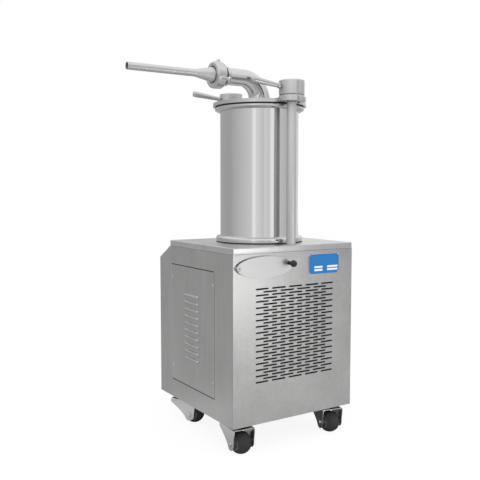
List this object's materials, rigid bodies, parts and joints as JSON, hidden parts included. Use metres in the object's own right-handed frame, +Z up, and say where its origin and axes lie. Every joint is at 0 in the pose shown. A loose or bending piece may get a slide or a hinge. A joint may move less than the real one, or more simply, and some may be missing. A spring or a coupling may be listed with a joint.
{
  "type": "hydraulic sausage stuffer",
  "caption": "Floor-standing hydraulic sausage filler: vented steel cabinet on casters, clamped meat cylinder with swing lid, elbow outlet and long nozzle.",
  "frame": {"origin": "on the floor, under the middle of the whole outline", "axes": "+Z up, the vented control side faces -Y, the nozzle points to -X"},
  "size_m": [0.8088, 0.6324, 1.4139],
  "materials": {
    "brushed_steel": "brushed stainless sheet",
    "polished_steel": "mirror-polished stainless",
    "turned_steel": "fine-turned stainless",
    "zinc_steel": "zinc plated",
    "black_steel": "satin black",
    "tyre_rubber": "matt",
    "seal_rubber": "matt",
    "white_seal": "smooth",
    "knob_plastic": "glossy",
    "plate_blue": "satin",
    "machine_paint": "hammered paint",
    "tank_plastic": "moulded",
    "cast_grey": "as cast",
    "brass": "turned",
    "bright_rod": "ground and plated"
  },
  "bodies": {
    "root": {"front_panel": "brushed_steel", "right_panel": "brushed_steel", "left_panel": "brushed_steel", "rear_panel": "brushed_steel", "top_cap": "brushed_steel", "base_tray": "brushed_steel", "service_cover": "brushed_steel", "data_plate": "plate_blue", "cable_gland": "knob_plastic", "lever_bushing": "turned_steel", "lever_screw": "turned_steel", "base_gasket": "seal_rubber", "meat_cylinder": "polished_steel", "front_column": "turned_steel", "rear_column": "turned_steel", "hydraulic_barrel": "machine_paint", "rod_gland": "brass", "oil_tank": "tank_plastic", "electric_motor": "machine_paint", "gear_pump": "cast_grey", "valve_block": "cast_grey", "pressure_hose": "seal_rubber", "lift_hose": "seal_rubber", "lowering_hose": "seal_rubber", "return_hose": "seal_rubber", "front_left_caster_plate": "black_steel", "front_right_caster_plate": "black_steel", "rear_left_caster_plate": "black_steel", "rear_right_caster_plate": "black_steel"},
    "lever": {"control_lever": "brushed_steel", "knob_stem": "turned_steel", "ball_knob": "knob_plastic"},
    "lid": {"lid": "brushed_steel", "lid_gasket": "seal_rubber", "outlet_elbow": "polished_steel", "outlet_ferrule": "turned_steel"},
    "nozzle": {"nozzle": "polished_steel", "nozzle_gasket": "white_seal"},
    "coupling_nut": {"coupling_nut": "turned_steel"},
    "front_collar": {"front_clamp_collar": "turned_steel"},
    "front_nut": {"front_hand_nut": "turned_steel", "front_handle": "turned_steel"},
    "rear_collar": {"rear_clamp_collar": "turned_steel"},
    "rear_nut": {"rear_hand_nut": "turned_steel", "rear_handle": "turned_steel"},
    "piston": {"piston_disc": "turned_steel", "piston_seal": "white_seal", "piston_rod": "bright_rod"},
    "front_left_caster": {"front_left_fork": "zinc_steel", "front_left_axle": "zinc_steel"},
    "front_left_wheel": {"front_left_wheel": "tyre_rubber"},
    "front_right_caster": {"front_right_fork": "zinc_steel", "front_right_axle": "zinc_steel"},
    "front_right_wheel": {"front_right_wheel": "tyre_rubber"},
    "rear_left_caster": {"rear_left_fork": "zinc_steel", "rear_left_axle": "zinc_steel"},
    "rear_left_wheel": {"rear_left_wheel": "tyre_rubber"},
    "rear_right_caster": {"rear_right_fork": "zinc_steel", "rear_right_axle": "zinc_steel"},
    "rear_right_wheel": {"rear_right_wheel": "tyre_rubber"}
  },
  "joints": [
    {"name": "lever_tilt", "type": "hinge", "parent": "root", "child": "lever", "pos_m": [-0.1116, -0.26775, 0.6655], "axis": [0, 1, 0], "range_deg": [-5, 5], "stiffness_Nm_per_rad": 60},
    {"name": "lid_swing", "type": "hinge", "parent": "root", "child": "lid", "pos_m": [0.1379, 0.17275, 1.26], "axis": [0, 0, 1], "range_deg": [-100, 0]},
    {"name": "nozzle_draw", "type": "slide", "parent": "lid", "child": "nozzle", "axis": [-1, 0, 0], "range_m": [0, 0.012]},
    {"name": "coupling_spin", "type": "hinge", "parent": "nozzle", "child": "coupling_nut", "pos_m": [-0.0421, -0.03225, 1.3523], "axis": [-1, 0, 0], "range_deg": [0, 720]},
    {"name": "front_collar_lift", "type": "slide", "parent": "root", "child": "front_collar", "axis": [0, 0, 1], "range_m": [0, 0.008]},
    {"name": "front_nut_spin", "type": "hinge", "parent": "front_collar", "child": "front_nut", "pos_m": [0.1379, -0.23725, 1.29], "axis": [0, 0, 1], "range_deg": [0, 720]},
    {"name": "rear_collar_lift", "type": "slide", "parent": "root", "child": "rear_collar", "axis": [0, 0, 1], "range_m": [0, 0.008]},
    {"name": "rear_nut_spin", "type": "hinge", "parent": "rear_collar", "child": "rear_nut", "pos_m": [0.1379, 0.17275, 1.29], "axis": [0, 0, 1], "range_deg": [0, 720]},
    {"name": "piston_lift", "type": "slide", "parent": "root", "child": "piston", "axis": [0, 0, 1], "range_m": [0, 0.446]},
    {"name": "front_left_swivel", "type": "hinge", "parent": "root", "child": "front_left_caster", "pos_m": [-0.0686, -0.19225, 0.09], "axis": [0, 0, 1], "continuous": true},
    {"name": "front_left_roll", "type": "hinge", "parent": "front_left_caster", "child": "front_left_wheel", "pos_m": [-0.07165, -0.22712, 0.04], "axis": [0.9962, -0.0872, 0], "continuous": true},
    {"name": "front_right_swivel", "type": "hinge", "parent": "root", "child": "front_right_caster", "pos_m": [0.3444, -0.19225, 0.09], "axis": [0, 0, 1], "continuous": true},
    {"name": "front_right_roll", "type": "hinge", "parent": "front_right_caster", "child": "front_right_wheel", "pos_m": [0.33653, -0.22635, 0.04], "axis": [0.9744, -0.225, 0], "continuous": true},
    {"name": "rear_left_swivel", "type": "hinge", "parent": "root", "child": "rear_left_caster", "pos_m": [-0.0686, 0.17875, 0.09], "axis": [0, 0, 1], "continuous": true},
    {"name": "rear_left_roll", "type": "hinge", "parent": "rear_left_caster", "child": "rear_left_wheel", "pos_m": [-0.05217, 0.14785, 0.04], "axis": [0.8829, 0.4695, 0], "continuous": true},
    {"name": "rear_right_swivel", "type": "hinge", "parent": "root", "child": "rear_right_caster", "pos_m": [0.3444, 0.17875, 0.09], "axis": [0, 0, 1], "continuous": true},
    {"name": "rear_right_roll", "type": "hinge", "parent": "rear_right_caster", "child": "rear_right_wheel", "pos_m": [0.35168, 0.21299, 0.04], "axis": [-0.9781, 0.2079, 0], "continuous": true}
  ],
  "couplings": [
    {"joint": "nozzle_draw", "follows": "coupling_spin", "m_per_rad": 0.0009549},
    {"joint": "front_collar_lift", "follows": "front_nut_spin", "m_per_rad": 0.0006366},
    {"joint": "rear_collar_lift", "follows": "rear_nut_spin", "m_per_rad": 0.0006366}
  ]
}
